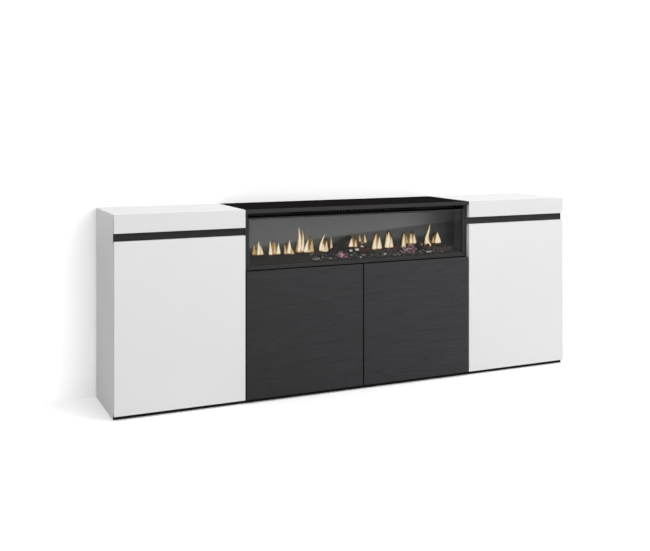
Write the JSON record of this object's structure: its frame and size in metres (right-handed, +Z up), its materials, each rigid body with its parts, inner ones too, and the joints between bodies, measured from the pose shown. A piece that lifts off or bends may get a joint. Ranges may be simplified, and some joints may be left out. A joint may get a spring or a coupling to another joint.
{
  "type": "electric fireplace sideboard",
  "caption": "Low sideboard of a black middle cabinet with an electric fireplace over push-to-open doors, between white cabinets with finger-gap doors.",
  "frame": {"origin": "on the floor under the middle of the outline", "axes": "+X along the front from the left cabinet to the right one, seen from the front; doors face -Y; +Z up"},
  "size_m": [2.1, 0.35, 0.7755],
  "materials": {
    "white_board": "white melamine-faced board, satin",
    "black_grain_board": "black melamine-faced board with a fine lengthwise wood grain, satin",
    "black_trim": "black satin strip",
    "hardboard": "thin hardboard, painted on the inside, bare behind",
    "hinge_nickel": "nickel-plated",
    "black_steel": "fine black powder coat",
    "bare_steel": "bare sheet",
    "front_glass": "clear toughened glass",
    "flame_screen": "grey satin acrylic that shows the flames",
    "flame_light": "light of the flame image",
    "ember_bed": "moulded and painted as charred logs, gravel and embers",
    "grey_plastic": "moulded",
    "circuit_board": "green board with small lamps",
    "black_rubber": "moulded bush"
  },
  "bodies": {
    "cabinet": {"centre_back": "hardboard", "centre_base_strip": "black_trim", "centre_bottom": "black_grain_board", "centre_divider": "black_grain_board", "centre_left_door_lower_hinge_arm": "hinge_nickel", "centre_left_door_upper_hinge_arm": "hinge_nickel", "centre_left_side": "black_grain_board", "centre_right_door_lower_hinge_arm": "hinge_nickel", "centre_right_door_upper_hinge_arm": "hinge_nickel", "centre_right_side": "black_grain_board", "centre_top": "black_grain_board", "cord_bush": "black_rubber", "ember_bed": "ember_bed", "firebox_housing": "black_steel", "fireplace_frame": "black_steel", "fireplace_shelf": "black_grain_board", "flame_screen": "flame_screen", "front_glass": "front_glass", "latch_body": "grey_plastic", "left_back": "hardboard", "left_base_strip": "black_trim", "left_bottom": "white_board", "left_door_lower_hinge_arm": "hinge_nickel", "left_door_upper_hinge_arm": "hinge_nickel", "left_fascia": "white_board", "left_handle_strip": "black_trim", "left_inner_side": "white_board", "left_outer_side": "white_board", "left_shelf": "white_board", "left_top": "white_board", "light_strip": "circuit_board", "outlet_grille": "black_steel", "right_back": "hardboard", "right_base_strip": "black_trim", "right_bottom": "white_board", "right_door_lower_hinge_arm": "hinge_nickel", "right_door_upper_hinge_arm": "hinge_nickel", "right_fascia": "white_board", "right_handle_strip": "black_trim", "right_inner_side": "white_board", "right_outer_side": "white_board", "right_shelf": "white_board", "right_top": "white_board", "spindle_motor": "grey_plastic"},
    "left_door": {"left_door": "white_board", "left_door_lower_hinge_cup": "hinge_nickel", "left_door_upper_hinge_cup": "hinge_nickel"},
    "centre_left_door": {"centre_left_door": "black_grain_board", "centre_left_door_lower_hinge_cup": "hinge_nickel", "centre_left_door_upper_hinge_cup": "hinge_nickel"},
    "centre_right_door": {"centre_right_door": "black_grain_board", "centre_right_door_lower_hinge_cup": "hinge_nickel", "centre_right_door_upper_hinge_cup": "hinge_nickel"},
    "right_door": {"right_door": "white_board", "right_door_lower_hinge_cup": "hinge_nickel", "right_door_upper_hinge_cup": "hinge_nickel"},
    "left_plunger": {"left_plunger": "grey_plastic"},
    "right_plunger": {"right_plunger": "grey_plastic"},
    "flame_spindle": {"flame_spindle": "bare_steel"},
    "blower_wheel": {"blower_wheel": "bare_steel"}
  },
  "joints": [
    {"name": "left_door_hinge", "type": "hinge", "parent": "cabinet", "child": "left_door", "pos_m": [-1.0432, -0.169, 0.3], "axis": [0, 0, -1], "range_deg": [0, 95]},
    {"name": "centre_left_door_hinge", "type": "hinge", "parent": "cabinet", "child": "centre_left_door", "pos_m": [-0.5167, -0.169, 0.3], "axis": [0, 0, -1], "range_deg": [0, 95]},
    {"name": "centre_right_door_hinge", "type": "hinge", "parent": "cabinet", "child": "centre_right_door", "pos_m": [0.5167, -0.169, 0.3], "axis": [0, 0, 1], "range_deg": [0, 95]},
    {"name": "right_door_hinge", "type": "hinge", "parent": "cabinet", "child": "right_door", "pos_m": [1.0432, -0.169, 0.3], "axis": [0, 0, 1], "range_deg": [0, 95]},
    {"name": "left_plunger_slide", "type": "slide", "parent": "cabinet", "child": "left_plunger", "axis": [0, -1, 0], "range_m": [0, 0.014]},
    {"name": "right_plunger_slide", "type": "slide", "parent": "cabinet", "child": "right_plunger", "axis": [0, -1, 0], "range_m": [0, 0.014]},
    {"name": "flame_spindle_spin", "type": "hinge", "parent": "cabinet", "child": "flame_spindle", "pos_m": [0, -0.0512, 0.5846], "axis": [1, 0, 0], "continuous": true},
    {"name": "blower_wheel_spin", "type": "hinge", "parent": "cabinet", "child": "blower_wheel", "pos_m": [0, -0.042, 0.732], "axis": [1, 0, 0], "continuous": true}
  ],
  "couplings": [
    {"joint": "left_plunger_slide", "follows": "centre_left_door_hinge", "m_per_rad": 0.0084},
    {"joint": "right_plunger_slide", "follows": "centre_right_door_hinge", "m_per_rad": 0.0084}
  ]
}
